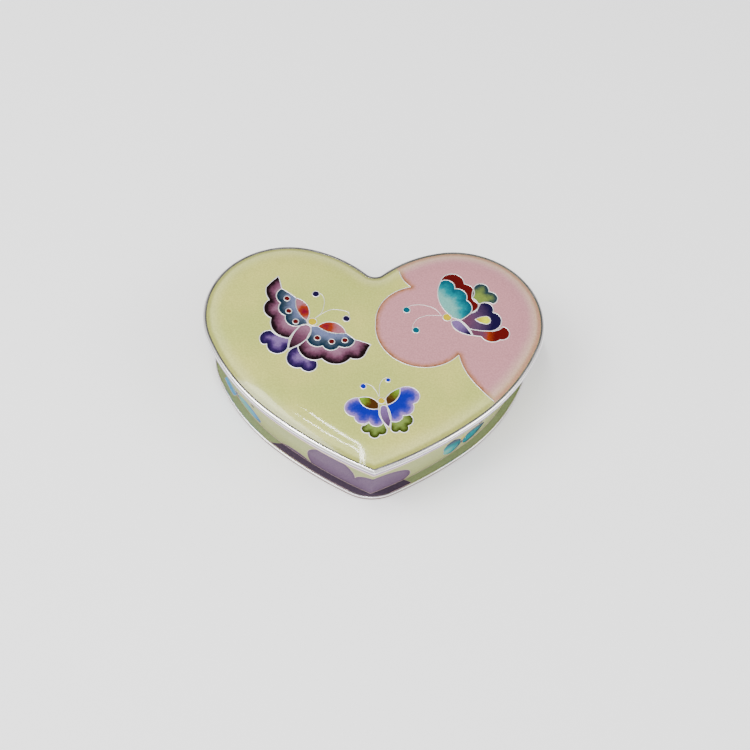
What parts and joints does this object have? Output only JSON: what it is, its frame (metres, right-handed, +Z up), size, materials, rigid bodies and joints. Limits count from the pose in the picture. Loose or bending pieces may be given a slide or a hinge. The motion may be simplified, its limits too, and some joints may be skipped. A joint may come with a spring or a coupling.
{
  "type": "cloisonne enamel box",
  "caption": "Heart-shaped enamelled silver box with a domed lift-off lid, leaning walls and a flared foot, for keeping small things.",
  "frame": {"origin": "on the surface that the box stands on, below the middle of its bounding box", "axes": "+X across both lobes of the heart, the heart's tip towards -Y and its notch towards +Y, +Z up"},
  "size_m": [0.09, 0.0704, 0.0228],
  "materials": {
    "silver_base": "polished silver, slightly worn",
    "silver_lid": "polished silver rim",
    "enamel_base": "glossy olive-green vitreous enamel",
    "enamel_lid": "glossy pale green vitreous enamel with a fine grain",
    "enamel_pink": "glossy pink vitreous enamel",
    "enamel_colours": "glossy shaded vitreous enamel cells",
    "silver_wire": "thin polished silver wire"
  },
  "bodies": {
    "root": {"base_tray": "silver_base", "base_enamel": "enamel_base", "lid_shell": "silver_lid", "lid_enamel": "enamel_lid"}
  },
  "joints": []
}
